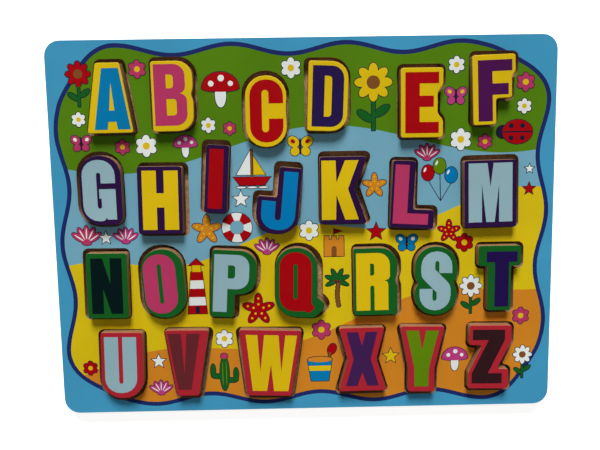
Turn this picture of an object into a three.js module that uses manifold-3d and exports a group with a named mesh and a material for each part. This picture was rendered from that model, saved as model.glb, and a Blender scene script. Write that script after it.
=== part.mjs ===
// Wooden alphabet puzzle: twenty-six loose letter blocks that lift out of a pierced, printed board.
// Millimetres, +Z up. The board lies flat, print upwards, with the middle of its underside at the origin.
// +X runs along the rows of letters and +Y points to the heads of the letters.
import * as THREE from 'three';
import { mergeVertices } from 'three/addons/utils/BufferGeometryUtils.js';
import Module from 'manifold-3d';

const wasm = await Module();
wasm.setup();

// Board
const BACKING_THICKNESS = 3; // hardboard floor under the recesses
const PANEL_THICKNESS = 6; // pierced fibreboard panel
const SHEET_THICKNESS = 0.25; // printed sheet on the panel
const BOARD_CORNER_RADIUS = 9;
const END_MARGIN = 16.62; // from the longest row's last recess to the board's end
const TOP_MARGIN = 10.9;
const BOTTOM_MARGIN = 7.65;
const ROW_GAPS = [15.15, 8, 4.9]; // between the recesses of one row and those of the next
const YELLOW_SHIFT = -0.25; // how far the first row sits to the right of the board's middle
const PURPLE_SHIFT = -3.2; // the same for the second
const GREEN_SHIFT = -0.8; // for the third
const RED_SHIFT = 0.1; // and for the fourth

// Letter blocks
const BLOCK_THICKNESS = 11.5;
const FACE_THICKNESS = 0.5; // printed facing glued on a block
const INK_RELIEF = 0.2; // how far the printed letter stands above its facing
const YELLOW_BORDER = 2.6; // coloured border around the printed letters of the first row
const PURPLE_BORDER = 2.5; // the same on the second row
const GREEN_BORDER = 3; // on the third
const RED_BORDER = 3.1; // and on the fourth
const RECESS_CLEARANCE = 2; // play of a block in its recess, on every side
const INNER_CORNER = 1; // least radius of an inside corner of a block or recess
const OUTER_CORNER = 1.4; // radius of a block's corner where the printed letter has a sharp one

// Strokes of the printed letters
const GLYPH_HEIGHT = 35;
const SHORT_GLYPH_HEIGHT = 33.7; // N, T, X and Z are printed a little shorter
const OVERSHOOT = 0.5; // round letters pass the line by this, at head and foot
const UPRIGHT = 8.4; // full upright stroke
const SLIM = 7; // upright stroke of the letters with less room
const ARM = 6.4; // level stroke
const BOW = 5.8; // round stroke at head and foot
const SLOT = 2.5; // narrow counter between two uprights
const BOWL_RADIUS = 9;
const WAIST_RAISE = 0.8; // a waist sits this far above mid height

// Roundness: the most that a chord may stand off its arc
const CHORD_TOLERANCE = 0.12;

const H = GLYPH_HEIGHT;
const SHORT_H = SHORT_GLYPH_HEIGHT;
const ROUND_H = GLYPH_HEIGHT + 2 * OVERSHOOT;
const WAIST = H / 2 + WAIST_RAISE;

// Colours from the photograph
const FIBREBOARD = 0xa27c58;
const HARDBOARD = 0xb28e68;
const SHEET_BLUE = 0x3a94c8;
const YELLOW = 0xd7b91e;
const PURPLE = 0x2d0f55;
const GREEN = 0x146e1e;
const RED = 0xbe2832;

// Each letter is drawn anticlockwise from its lower left corner, as corners [x, y, radius].
// outline and counters make the printed letter; silhouette is the plainer form that the block follows.

function drawA() {
  const head = 9.6;
  const foot = 7.4;
  const crotch = 6;
  const crotchTaper = 0.7;
  const barFoot = 4.5;
  const eyeBase = 3;
  const eyeDepth = 8;
  const width = 2 * foot + crotch;
  const middle = width / 2;
  const slope = (width - head) / 2;
  const silhouette = [[0, 0], [width, 0], [width - slope, H], [slope, H]];
  const notch = [
    [foot, 0],
    [foot + crotchTaper, barFoot],
    [width - foot - crotchTaper, barFoot],
    [width - foot, 0],
  ];
  const eye = [
    [middle - eyeBase / 2, barFoot + ARM],
    [middle + eyeBase / 2, barFoot + ARM],
    [middle, H - eyeDepth],
  ];
  return {
    outline: [[0, 0], ...notch, [width, 0], [width - slope, H], [slope, H]],
    counters: [eye],
    silhouette,
  };
}

function drawB() {
  const lowerEye = 5.8;
  const upperEye = 4.2;
  const side = 6;
  const barHalf = 3;
  const pinch = 4.2;
  const pinchHalf = 0.5;
  const bowl = 6.5;
  const overhang = 0.8;
  const waistDepth = 1.2;
  const waistSpan = 4.5;
  const eyeCorner = 1.8;
  const width = SLIM + lowerEye + side;
  const upper = width - overhang;
  return {
    outline: [
      [0, 0],
      [width, 0, bowl],
      [width, WAIST - pinchHalf, pinch],
      [width - pinch, WAIST],
      [upper, WAIST + pinchHalf, pinch],
      [upper, H, bowl],
      [0, H],
    ],
    counters: [
      slotCounter(SLIM, BOW, lowerEye, WAIST - barHalf, eyeCorner),
      slotCounter(SLIM, WAIST + barHalf, upperEye, H - BOW, eyeCorner),
    ],
    silhouette: [
      [0, 0],
      [width, 0, bowl],
      ...pinched(width, WAIST, waistDepth, waistSpan),
      [width, H, bowl],
      [0, H],
    ],
  };
}

function drawC() {
  const gap = 4;
  const mouth = 8.8;
  const waistDepth = 1;
  const width = SLIM + gap + UPRIGHT;
  const inner = SLIM + gap;
  const mouthFoot = (ROUND_H - mouth) / 2;
  const mouthHead = mouthFoot + mouth;
  return {
    outline: [
      [0, 0, BOWL_RADIUS],
      [width, 0, BOWL_RADIUS],
      [width, mouthFoot],
      [inner, mouthFoot],
      [inner, BOW, gap / 2],
      [SLIM, BOW, gap / 2],
      [SLIM, ROUND_H - BOW, gap / 2],
      [inner, ROUND_H - BOW, gap / 2],
      [inner, mouthHead],
      [width, mouthHead],
      [width, ROUND_H, BOWL_RADIUS],
      [0, ROUND_H, BOWL_RADIUS],
    ],
    counters: [],
    silhouette: [
      [0, 0, BOWL_RADIUS],
      [width, 0, BOWL_RADIUS],
      [width - waistDepth, ROUND_H / 2, BOWL_RADIUS],
      [width, ROUND_H, BOWL_RADIUS],
      [0, ROUND_H, BOWL_RADIUS],
    ],
  };
}

function drawD() {
  const eye = 4.3;
  const side = 6.9;
  const bowl = 7;
  const eyeCorner = 1.8;
  const width = SLIM + eye + side;
  const silhouette = [[0, 0], [width, 0, bowl], [width, H, bowl], [0, H]];
  return {
    outline: silhouette,
    counters: [slotCounter(SLIM, BOW, eye, H - BOW, eyeCorner)],
    silhouette,
  };
}

function drawE() {
  const reach = 11.2;
  const middleShort = 3;
  const scoopDepth = 3.2;
  const scoopSlope = 4;
  const scoopRadius = 6;
  const width = UPRIGHT + reach;
  const middle = width - middleShort;
  const scoop = width - scoopDepth;
  return {
    outline: [
      [0, 0],
      [width, 0],
      [width, ARM],
      [UPRIGHT, ARM],
      [UPRIGHT, WAIST - ARM / 2],
      [middle, WAIST - ARM / 2],
      [middle, WAIST + ARM / 2],
      [UPRIGHT, WAIST + ARM / 2],
      [UPRIGHT, H - ARM],
      [width, H - ARM],
      [width, H],
      [0, H],
    ],
    counters: [],
    silhouette: [
      [0, 0],
      [width, 0],
      [width, ARM, INNER_CORNER],
      [scoop, ARM + scoopSlope, scoopRadius],
      [scoop, H - ARM - scoopSlope, scoopRadius],
      [width, H - ARM, INNER_CORNER],
      [width, H],
      [0, H],
    ],
  };
}

function drawF() {
  const reach = 11.6;
  const middleShort = 2.2;
  const scoopSlope = 3;
  const scoopRadius = 4;
  const width = UPRIGHT + reach;
  const middle = width - middleShort;
  const armFoot = WAIST - ARM / 2;
  return {
    outline: [
      [0, 0],
      [UPRIGHT, 0],
      [UPRIGHT, armFoot],
      [middle, armFoot],
      [middle, armFoot + ARM],
      [UPRIGHT, armFoot + ARM],
      [UPRIGHT, H - ARM],
      [width, H - ARM],
      [width, H],
      [0, H],
    ],
    counters: [],
    silhouette: [
      [0, 0],
      [UPRIGHT, 0],
      [UPRIGHT, armFoot, scoopRadius],
      [middle, armFoot],
      [middle, H - ARM - scoopSlope, scoopRadius],
      [width, H - ARM, INNER_CORNER],
      [width, H],
      [0, H],
    ],
  };
}

function drawG() {
  const bow = 7.4;
  const throat = 3.4;
  const barDrop = 5.5;
  const lip = 1.2;
  const spur = 5.4;
  const spurLift = 0.8;
  const nick = 2.2;
  const nickWidth = 1.2;
  const heel = 2.5;
  const width = 2 * UPRIGHT + SLOT;
  const inner = UPRIGHT + SLOT;
  const barHead = ROUND_H / 2 + WAIST_RAISE;
  const spurSide = width - spur;
  return {
    outline: [
      [0, 0, BOWL_RADIUS],
      [spurSide - nickWidth, 0, heel],
      [spurSide - nickWidth / 2, nick],
      [spurSide, spurLift],
      [width, spurLift],
      [width, barHead],
      [inner - lip, barHead],
      [inner - lip, barHead - barDrop],
      [inner, barHead - barDrop],
      [inner, bow, SLOT / 2],
      [UPRIGHT, bow, SLOT / 2],
      [UPRIGHT, ROUND_H - bow, SLOT / 2],
      [inner, ROUND_H - bow, SLOT / 2],
      [inner, barHead + throat],
      [width, barHead + throat],
      [width, ROUND_H, BOWL_RADIUS],
      [0, ROUND_H, BOWL_RADIUS],
    ],
    counters: [],
    silhouette: [
      [0, 0, BOWL_RADIUS],
      [width, 0, heel],
      [width, ROUND_H, BOWL_RADIUS],
      [0, ROUND_H, BOWL_RADIUS],
    ],
  };
}

function drawH() {
  const gap = 4.4;
  const bar = 8.4;
  const width = 2 * UPRIGHT + gap;
  const inner = UPRIGHT + gap;
  const barFoot = (H - bar) / 2;
  const barHead = barFoot + bar;
  return {
    outline: [
      [0, 0],
      [UPRIGHT, 0],
      [UPRIGHT, barFoot],
      [inner, barFoot],
      [inner, 0],
      [width, 0],
      [width, H],
      [inner, H],
      [inner, barHead],
      [UPRIGHT, barHead],
      [UPRIGHT, H],
      [0, H],
    ],
    counters: [],
    silhouette: rectangle(width, H),
  };
}

function drawI() {
  return { outline: rectangle(UPRIGHT, H), counters: [], silhouette: rectangle(UPRIGHT, H) };
}

function drawJ() {
  const hook = 8.2;
  const hookHeight = 17;
  const gap = 3.6;
  const width = hook + gap + UPRIGHT;
  const stem = hook + gap;
  const bowls = [[0, 0, BOWL_RADIUS], [width, 0, BOWL_RADIUS]];
  return {
    outline: [
      ...bowls,
      [width, H],
      [stem, H],
      [stem, BOW, gap / 2],
      [hook, BOW, gap / 2],
      [hook, hookHeight],
      [0, hookHeight],
    ],
    counters: [],
    silhouette: [...bowls, [width, H], [stem, H], [stem, hookHeight], [0, hookHeight]],
  };
}

function drawK() {
  const reach = 13.5;
  const limb = 8;
  const waist = 7.2;
  const crotch = 0.4;
  const crotchGap = 7.5;
  const width = UPRIGHT + reach;
  const pinch = UPRIGHT + waist;
  return {
    outline: [
      [0, 0],
      [UPRIGHT, 0],
      [UPRIGHT + crotch, WAIST - crotchGap / 2],
      [width - limb, 0],
      [width, 0],
      [pinch, WAIST],
      [width, H],
      [width - limb, H],
      [UPRIGHT + crotch, WAIST + crotchGap / 2],
      [UPRIGHT, H],
      [0, H],
    ],
    counters: [],
    silhouette: [[0, 0], [width, 0], [pinch, WAIST], [width, H], [0, H]],
  };
}

function drawL() {
  const reach = 12.6;
  const width = UPRIGHT + reach;
  const silhouette = [[0, 0], [width, 0], [width, ARM], [UPRIGHT, ARM], [UPRIGHT, H], [0, H]];
  return { outline: silhouette, counters: [], silhouette };
}

function drawM() {
  const stem = 7.9;
  const vee = 5;
  const notch = 2.6;
  const notchHeight = 22.5;
  const crownHalf = 1.8;
  const crownDepth = 14;
  const width = 2 * stem + 2 * notch + vee;
  const middle = width / 2;
  return {
    outline: [
      [0, 0],
      [stem, 0],
      [stem, notchHeight],
      [stem + notch, 0],
      [width - stem - notch, 0],
      [width - stem, notchHeight],
      [width - stem, 0],
      [width, 0],
      [width, H],
      [middle + crownHalf, H],
      [middle, H - crownDepth],
      [middle - crownHalf, H],
      [0, H],
    ],
    counters: [],
    silhouette: rectangle(width, H),
  };
}

function drawN() {
  const gap = 4.5;
  const notch = 15.5;
  const width = 2 * SLIM + gap;
  const inner = SLIM + gap;
  return {
    outline: [
      [0, 0],
      [SLIM, 0],
      [SLIM, notch],
      [inner, 0],
      [width, 0],
      [width, SHORT_H],
      [inner, SHORT_H],
      [inner, SHORT_H - notch],
      [SLIM, SHORT_H],
      [0, SHORT_H],
    ],
    counters: [],
    silhouette: rectangle(width, SHORT_H),
  };
}

function drawO() {
  const width = 2 * UPRIGHT + SLOT;
  const silhouette = rectangle(width, ROUND_H, BOWL_RADIUS);
  return {
    outline: silhouette,
    counters: [stadiumCounter(UPRIGHT, BOW, SLOT, ROUND_H - BOW)],
    silhouette,
  };
}

function drawP() {
  const eye = 4.3;
  const bowlHeight = 20.8;
  const bowl = 7;
  const eyeCorner = 1.5;
  const width = UPRIGHT + eye + UPRIGHT;
  const bowlFoot = H - bowlHeight;
  const silhouette = [
    [0, 0],
    [UPRIGHT, 0],
    [UPRIGHT, bowlFoot],
    [width, bowlFoot, bowl],
    [width, H, bowl],
    [0, H],
  ];
  return {
    outline: silhouette,
    counters: [slotCounter(UPRIGHT, bowlFoot + ARM, eye, H - ARM, eyeCorner)],
    silhouette,
  };
}

function drawQ() {
  const tailReach = 1.8;
  const tailRoot = 5;
  const tailTip = 2;
  const tailDrop = 1;
  const tailSoft = 0.8;
  const blockTail = 4.7;
  const blockRoot = 7.5;
  const blockTip = 3.6;
  const blockSoft = 3;
  const bow = 7.2;
  const width = 2 * UPRIGHT + SLOT;
  return {
    outline: [
      [0, 0, BOWL_RADIUS],
      [width - tailRoot, 0],
      [width - tailDrop, -tailDrop, tailSoft],
      [width + tailReach, tailTip, tailSoft],
      [width, tailRoot],
      [width, ROUND_H, BOWL_RADIUS],
      [0, ROUND_H, BOWL_RADIUS],
    ],
    counters: [stadiumCounter(UPRIGHT, bow, SLOT, ROUND_H - bow)],
    silhouette: [
      [0, 0, BOWL_RADIUS],
      [width, -tailDrop, blockSoft],
      [width + blockTail, blockTip, INNER_CORNER],
      [width, blockRoot, blockSoft],
      [width, ROUND_H, BOWL_RADIUS],
      [0, ROUND_H, BOWL_RADIUS],
    ],
  };
}

function drawR() {
  const overhang = 1;
  const barHalf = 3;
  const pinch = 2.6;
  const pinchHalf = 0.5;
  const bowl = 7;
  const waistDepth = 1.4;
  const waistSpan = 4.5;
  const eyeCorner = 1.2;
  const inner = UPRIGHT + SLOT;
  const leg = inner + UPRIGHT;
  const width = leg + overhang;
  return {
    outline: [
      [0, 0],
      [UPRIGHT, 0],
      [UPRIGHT, WAIST - barHalf, eyeCorner],
      [inner, WAIST - barHalf, eyeCorner],
      [inner, 0],
      [leg, 0],
      [leg, WAIST - pinchHalf, pinch],
      [leg - pinch, WAIST],
      [width, WAIST + pinchHalf, pinch],
      [width, H, bowl],
      [0, H],
    ],
    counters: [slotCounter(UPRIGHT, WAIST + barHalf, SLOT, H - ARM, eyeCorner)],
    silhouette: [
      [0, 0],
      [width, 0],
      ...pinched(width, WAIST, waistDepth, waistSpan),
      [width, H, bowl],
      [0, H],
    ],
  };
}

function drawS() {
  const overhang = 0.8;
  const terminal = 7.8;
  const spineHalf = 2.5;
  const mouthHalf = 4.8;
  const spineRadius = 6;
  const waistDrop = 1.5;
  const waistDepth = 2.3;
  const waistSpan = 5;
  const width = overhang + UPRIGHT + SLOT + terminal;
  const middle = ROUND_H / 2;
  const spineRise = terminal + SLOT - overhang;
  const upperSlot = overhang + UPRIGHT;
  const lowerSlot = terminal + SLOT;
  return {
    outline: [
      [0, middle - mouthHalf],
      [0, 0, BOWL_RADIUS],
      [width - overhang, 0, BOWL_RADIUS],
      [width - overhang, middle - spineHalf, spineRadius],
      [upperSlot, middle - spineHalf + spineRise],
      [upperSlot, ROUND_H - BOW, SLOT / 2],
      [upperSlot + SLOT, ROUND_H - BOW, SLOT / 2],
      [upperSlot + SLOT, middle + mouthHalf],
      [width, middle + mouthHalf],
      [width, ROUND_H, BOWL_RADIUS],
      [overhang, ROUND_H, BOWL_RADIUS],
      [overhang, middle + spineHalf, spineRadius],
      [lowerSlot, middle + spineHalf - spineRise],
      [lowerSlot, BOW, SLOT / 2],
      [terminal, BOW, SLOT / 2],
      [terminal, middle - mouthHalf],
    ],
    counters: [],
    silhouette: [
      [0, 0, BOWL_RADIUS],
      [width, 0, BOWL_RADIUS],
      ...pinched(width, middle - waistDrop, waistDepth, waistSpan),
      [width, ROUND_H, BOWL_RADIUS],
      [0, ROUND_H, BOWL_RADIUS],
      ...pinched(0, middle - waistDrop, -waistDepth, -waistSpan),
    ],
  };
}

function drawT() {
  const reach = 5.1;
  const spread = 0.5;
  const right = reach + UPRIGHT;
  const cross = (arm) => [
    [reach, 0],
    [right, 0],
    [right, SHORT_H - ARM],
    [right + arm, SHORT_H - ARM],
    [right + arm, SHORT_H],
    [reach - arm, SHORT_H],
    [reach - arm, SHORT_H - ARM],
    [reach, SHORT_H - ARM],
  ];
  return { outline: cross(reach), counters: [], silhouette: cross(reach + spread) };
}

function drawU() {
  const width = 2 * UPRIGHT + SLOT;
  const inner = UPRIGHT + SLOT;
  const bowls = [[0, 0, BOWL_RADIUS], [width, 0, BOWL_RADIUS], [width, H]];
  return {
    outline: [
      ...bowls,
      [inner, H],
      [inner, BOW, SLOT / 2],
      [UPRIGHT, BOW, SLOT / 2],
      [UPRIGHT, H],
      [0, H],
    ],
    counters: [],
    silhouette: [...bowls, [0, H]],
  };
}

function drawV() {
  const stroke = 8;
  const crown = 3.4;
  const tip = 8;
  const crownFoot = 9.8;
  const width = 2 * stroke + crown;
  const middle = width / 2;
  const tips = [[middle - tip / 2, 0], [middle + tip / 2, 0], [width, H]];
  return {
    outline: [...tips, [width - stroke, H], [middle, crownFoot], [stroke, H], [0, H]],
    counters: [],
    silhouette: [...tips, [0, H]],
  };
}

function drawW() {
  const stroke = 7.1;
  const crown = 4.1;
  const centre = 8.7;
  const tip = 8.7;
  const inset = 4.7;
  const crownFoot = 12;
  const crotchHeight = 16.8;
  const width = 2 * stroke + 2 * crown + centre;
  const middle = width / 2;
  const crownMiddle = stroke + crown / 2;
  return {
    outline: [
      [inset, 0],
      [inset + tip, 0],
      [middle, crotchHeight],
      [width - inset - tip, 0],
      [width - inset, 0],
      [width, H],
      [width - stroke, H],
      [width - crownMiddle, crownFoot],
      [width - stroke - crown, H],
      [stroke + crown, H],
      [crownMiddle, crownFoot],
      [stroke, H],
      [0, H],
    ],
    counters: [],
    silhouette: [[inset, 0], [width - inset, 0], [width, H], [0, H]],
  };
}

function drawX() {
  const limb = 7;
  const crotch = 6;
  const headInset = 0.6;
  const crotchDepth = 8.5;
  const pinch = 4.8;
  const blockPinch = 4.4;
  const spread = 0.6;
  const width = 2 * limb + crotch;
  const middle = width / 2;
  return {
    outline: [
      [0, 0],
      [limb, 0],
      [middle, crotchDepth],
      [width - limb, 0],
      [width, 0],
      [width - pinch, SHORT_H / 2],
      [width - headInset, SHORT_H],
      [width - headInset - limb, SHORT_H],
      [middle, SHORT_H - crotchDepth],
      [headInset + limb, SHORT_H],
      [headInset, SHORT_H],
      [pinch, SHORT_H / 2],
    ],
    counters: [],
    silhouette: [
      [-spread, 0],
      [width + spread, 0],
      [width - blockPinch, SHORT_H / 2],
      [width, SHORT_H],
      [0, SHORT_H],
      [blockPinch, SHORT_H / 2],
    ],
  };
}

function drawY() {
  const limb = 7.6;
  const crown = 4.5;
  const crownDepth = 12.5;
  const fork = 12;
  const forkSpread = 0.3;
  const blockStem = 10;
  const width = 2 * limb + crown;
  const middle = width / 2;
  const stemHalf = UPRIGHT / 2;
  const blockHalf = blockStem / 2;
  return {
    outline: [
      [middle - stemHalf, 0],
      [middle + stemHalf, 0],
      [middle + stemHalf + forkSpread, fork],
      [width, H],
      [width - limb, H],
      [middle, H - crownDepth],
      [limb, H],
      [0, H],
      [middle - stemHalf - forkSpread, fork],
    ],
    counters: [],
    silhouette: [
      [middle - blockHalf, 0],
      [middle + blockHalf, 0],
      [middle + blockHalf, fork],
      [width, H],
      [0, H],
      [middle - blockHalf, fork],
    ],
  };
}

function drawZ() {
  const width = 19.6;
  const footShort = 1.2;
  const diagonal = 9.8;
  const foot = width - footShort;
  const silhouette = [
    [0, 0],
    [foot, 0],
    [foot, ARM],
    [diagonal, ARM],
    [width, SHORT_H - ARM],
    [width, SHORT_H],
    [0, SHORT_H],
    [0, SHORT_H - ARM],
    [width - diagonal, SHORT_H - ARM],
    [0, ARM],
  ];
  return { outline: silhouette, counters: [], silhouette };
}

// The letters in reading order. rise is the recess's height above its row's line, lean its turn to the
// right in degrees. lie says how the loose block lies in its recess: slide in x and y, then tip to the
// right, in parts of the clearance. drift is how far the print sits off centre, in parts of the border.
const LETTERS = {
  A: { draw: drawA, rise: 0, lean: -0.5, lie: [0, -0.4, 0], drift: [0.55, -0.2] },
  B: { draw: drawB, rise: 0.7, lean: -0.5, lie: [0, -0.5, 0], drift: [-0.4, 0.3] },
  C: { draw: drawC, rise: -8.4, lean: 0, lie: [0.2, -0.7, 0], drift: [0, 0.1] },
  D: { draw: drawD, rise: -0.8, lean: 0, lie: [0, -0.4, 0.45], drift: [0, 0] },
  E: { draw: drawE, rise: -5.3, lean: 0, lie: [-0.3, -0.4, 0], drift: [0, 0] },
  F: { draw: drawF, rise: 1.6, lean: 0, lie: [-0.5, -0.4, -0.35], drift: [0.2, -0.2] },
  G: { draw: drawG, rise: 5.5, lean: -0.5, lie: [0.7, -0.2, 0], drift: [-0.4, 0] },
  H: { draw: drawH, rise: -1, lean: 0.5, lie: [-0.6, -0.1, 0], drift: [0.1, 0] },
  I: { draw: drawI, rise: 11.9, lean: 3.1, lie: [0.55, -0.55, 0.12], drift: [-0.2, 0] },
  J: { draw: drawJ, rise: -1.2, lean: 4.1, lie: [0.4, -0.65, 0.28], drift: [0.2, 0] },
  K: { draw: drawK, rise: 4, lean: 0, lie: [-0.6, -0.6, 0], drift: [-0.6, 0.1] },
  L: { draw: drawL, rise: -0.2, lean: 1.5, lie: [-0.5, -0.1, 0.3], drift: [-0.4, 0] },
  M: { draw: drawM, rise: 0.4, lean: -1, lie: [-0.5, -0.5, 0], drift: [0, 0.3] },
  N: { draw: drawN, rise: 0.7, lean: 0.5, lie: [0.7, -0.1, 0], drift: [-0.1, 0] },
  O: { draw: drawO, rise: 1.3, lean: -2, lie: [0.6, 0, -0.3], drift: [-0.6, 0] },
  P: { draw: drawP, rise: 0.3, lean: 2, lie: [-0.2, 0, 0.3], drift: [-0.5, 0.1] },
  Q: { draw: drawQ, rise: 0.4, lean: 1, lie: [-0.7, -0.1, 0], drift: [-0.2, 0.1] },
  R: { draw: drawR, rise: 0.2, lean: -0.5, lie: [-0.6, 0, 0], drift: [-0.5, 0] },
  S: { draw: drawS, rise: 0, lean: 0.5, lie: [-0.4, 0, 0], drift: [0, 0] },
  T: { draw: drawT, rise: 0.6, lean: 0, lie: [-0.7, 0.2, 0], drift: [0.5, -0.2] },
  U: { draw: drawU, rise: -0.1, lean: 0.9, lie: [0.4, 0.7, 0], drift: [-0.3, 0.1] },
  V: { draw: drawV, rise: 0.5, lean: 0.5, lie: [-0.2, 0.75, 0], drift: [-0.6, 0.3] },
  W: { draw: drawW, rise: -0.3, lean: 0.9, lie: [0.1, 0.65, 0.2], drift: [0.2, 0] },
  X: { draw: drawX, rise: 0.6, lean: -0.4, lie: [0, 0.8, 0], drift: [0, 0.1] },
  Y: { draw: drawY, rise: 0.2, lean: 1, lie: [-0.3, 0.75, 0], drift: [0, 0.1] },
  Z: { draw: drawZ, rise: 1, lean: 0.8, lie: [-0.6, 0.55, 0], drift: [-0.3, 0.1] },
};

// Rows from the top. bridges are the widths of panel left between one recess and the next.
const ROWS = [
  {
    letters: 'ABCDEF',
    bridges: [7.5, 25.5, 8.75, 27.25, 13.5],
    shift: YELLOW_SHIFT,
    border: YELLOW_BORDER,
    colour: YELLOW,
  },
  {
    letters: 'GHIJKLM',
    bridges: [7.75, 7.5, 13, 10, 10.75, 13.25],
    shift: PURPLE_SHIFT,
    border: PURPLE_BORDER,
    colour: PURPLE,
  },
  {
    letters: 'NOPQRST',
    bridges: [4.75, 13.25, 8.5, 13.25, 6, 9.25],
    shift: GREEN_SHIFT,
    border: GREEN_BORDER,
    colour: GREEN,
  },
  {
    letters: 'UVWXYZ',
    bridges: [10.75, 13.5, 19.25, 5.5, 12],
    shift: RED_SHIFT,
    border: RED_BORDER,
    colour: RED,
  },
];

function rectangle(width, height, radius = 0) {
  return [[0, 0, radius], [width, 0, radius], [width, height, radius], [0, height, radius]];
}

// A shallow waist in the right side of an outline, or in the left with depth and span below zero
function pinched(side, height, depth, span) {
  const soft = Math.abs(span);
  return [[side, height - span, soft], [side - depth, height], [side, height + span, soft]];
}

// Counter with a straight left side and soft corners on the right
function slotCounter(left, foot, width, head, radius) {
  const right = left + width;
  return [[left, foot], [right, foot, radius], [right, head, radius], [left, head]];
}

// Counter with both ends round
function stadiumCounter(left, foot, width, head) {
  const right = left + width;
  const radius = width / 2;
  return [[left, foot, radius], [right, foot, radius], [right, head, radius], [left, head, radius]];
}

function vectors(corners) {
  return corners.map(([x, y]) => new THREE.Vector2(x, y));
}

function shifted(corners, dx, dy) {
  return corners.map(([x, y, radius]) => [x + dx, y + dy, radius]);
}

// For each corner: the unit directions of the edges into and out of it
function edgeDirections(corners) {
  const points = vectors(corners);
  const count = points.length;
  return points.map((point, i) => ({
    point,
    into: point.clone().sub(points[(i + count - 1) % count]),
    out: points[(i + 1) % count].clone().sub(point),
  }));
}

// Moves every side of an anticlockwise outline outwards by a distance. Arcs keep their middles, and a
// sharp corner is eased.
function grown(corners, distance) {
  return edgeDirections(corners).map(({ point, into, out }, i) => {
    const a = into.normalize();
    const b = out.normalize();
    const reach = distance / (1 + a.dot(b));
    const radius = corners[i][2] ?? 0;
    const outer = a.cross(b) > 0;
    const eased = radius > 0 ? radius + distance : OUTER_CORNER;
    return [
      point.x + (a.y + b.y) * reach,
      point.y - (a.x + b.x) * reach,
      outer ? eased : Math.max(radius - distance, INNER_CORNER),
    ];
  });
}

// Points along an outline, with each corner turned on an arc of its radius where the sides leave room
function rounded(corners) {
  const edges = edgeDirections(corners);
  const count = corners.length;
  const turns = edges.map(({ into, out }) => Math.atan2(into.cross(out), into.dot(out)));
  const wanted = turns.map((turn, i) => (corners[i][2] ?? 0) * Math.tan(Math.abs(turn) / 2));
  const share = edges.map(({ out }, i) => out.length() / (wanted[i] + wanted[(i + 1) % count]));
  const points = [];
  edges.forEach(({ point, into, out }, i) => {
    const fit = Math.min(1, share[i], share[(i + count - 1) % count]);
    const radius = (corners[i][2] ?? 0) * fit;
    if (radius === 0) {
      points.push(point);
      return;
    }
    const side = Math.sign(turns[i]);
    const normal = new THREE.Vector2(-into.y, into.x).normalize().multiplyScalar(side * radius);
    const start = point.clone().addScaledVector(into.clone().normalize(), -wanted[i] * fit);
    const centre = start.clone().add(normal);
    const coarsest = 2 * Math.acos(Math.max(1 - CHORD_TOLERANCE / radius, 0));
    const steps = Math.max(2, Math.ceil(Math.abs(turns[i]) / coarsest));
    for (let step = 0; step <= steps; step += 1) {
      points.push(start.clone().rotateAround(centre, (turns[i] * step) / steps));
    }
  });
  return points.filter((point, i) => point.distanceTo(points[(i + 1) % points.length]) > CHORD_TOLERANCE);
}

function plate(outline, holes, thickness) {
  const shape = new THREE.Shape(outline);
  shape.holes = holes.map((hole) => new THREE.Path(hole));
  return new THREE.ExtrudeGeometry(shape, { depth: thickness, bevelEnabled: false });
}

function solid(geometry) {
  geometry.deleteAttribute('normal');
  geometry.deleteAttribute('uv');
  const merged = mergeVertices(geometry);
  return new wasm.Manifold(
    new wasm.Mesh({
      numProp: 3,
      vertProperties: new Float32Array(merged.attributes.position.array),
      triVerts: new Uint32Array(merged.index.array),
    }),
  );
}

function joined(first, second) {
  const mesh = solid(first).add(solid(second)).getMesh();
  const geometry = new THREE.BufferGeometry();
  geometry.setAttribute('position', new THREE.BufferAttribute(mesh.vertProperties, 3));
  geometry.setIndex(new THREE.BufferAttribute(mesh.triVerts, 1));
  return geometry;
}

function piece(name, geometry, color, roughness) {
  const mesh = new THREE.Mesh(geometry, new THREE.MeshStandardMaterial({ color, roughness, metalness: 0 }));
  mesh.name = name;
  return mesh;
}

// A letter's outlines, all about the middle of its block
function letterOutlines({ draw, drift }, border) {
  const { outline, counters, silhouette } = draw();
  const middle = new THREE.Box2().setFromPoints(vectors(silhouette)).getCenter(new THREE.Vector2());
  const block = grown(shifted(silhouette, -middle.x, -middle.y), border);
  const dx = drift[0] * border - middle.x;
  const dy = drift[1] * border - middle.y;
  return {
    block: rounded(block),
    recess: rounded(grown(block, RECESS_CLEARANCE)),
    print: rounded(shifted(outline, dx, dy)),
    counters: counters.map((counter) => rounded(shifted(counter, dx, dy))),
  };
}

// Places every recess: rows stack down the board, and each row is centred along it
const rowHeights = ROWS.map(({ border }) => GLYPH_HEIGHT + 2 * (border + RECESS_CLEARANCE));
const sum = (values) => values.reduce((total, value) => total + value, 0);
const boardWidth = TOP_MARGIN + sum(rowHeights) + sum(ROW_GAPS) + BOTTOM_MARGIN;

const recesses = [];
const rowLengths = [];
let rowHead = boardWidth / 2 - TOP_MARGIN;
ROWS.forEach(({ letters, bridges, shift, border, colour }, r) => {
  let along = 0;
  const placed = [...letters].map((letter, i) => {
    const outlines = letterOutlines(LETTERS[letter], border);
    const { min, max } = new THREE.Box2().setFromPoints(outlines.recess);
    const x = along - min.x;
    along += max.x - min.x + (bridges[i] ?? 0);
    return { letter, outlines, x };
  });
  const line = rowHead - rowHeights[r] / 2;
  for (const { letter, outlines, x } of placed) {
    const { rise, lean, lie } = LETTERS[letter];
    const [slideX, slideY, tip] = lie;
    const place = new THREE.Vector2(x - along / 2 + shift, line + rise);
    const seat = new THREE.Vector2(slideX, slideY).multiplyScalar(RECESS_CLEARANCE).add(place);
    const turn = THREE.MathUtils.degToRad(-lean);
    const seatTurn = turn - Math.atan2(tip * RECESS_CLEARANCE, rowHeights[r] / 2);
    recesses.push({ letter, outlines, place, turn, seat, seatTurn, colour });
  }
  rowLengths.push(along);
  rowHead -= rowHeights[r] + (ROW_GAPS[r] ?? 0);
});
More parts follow.
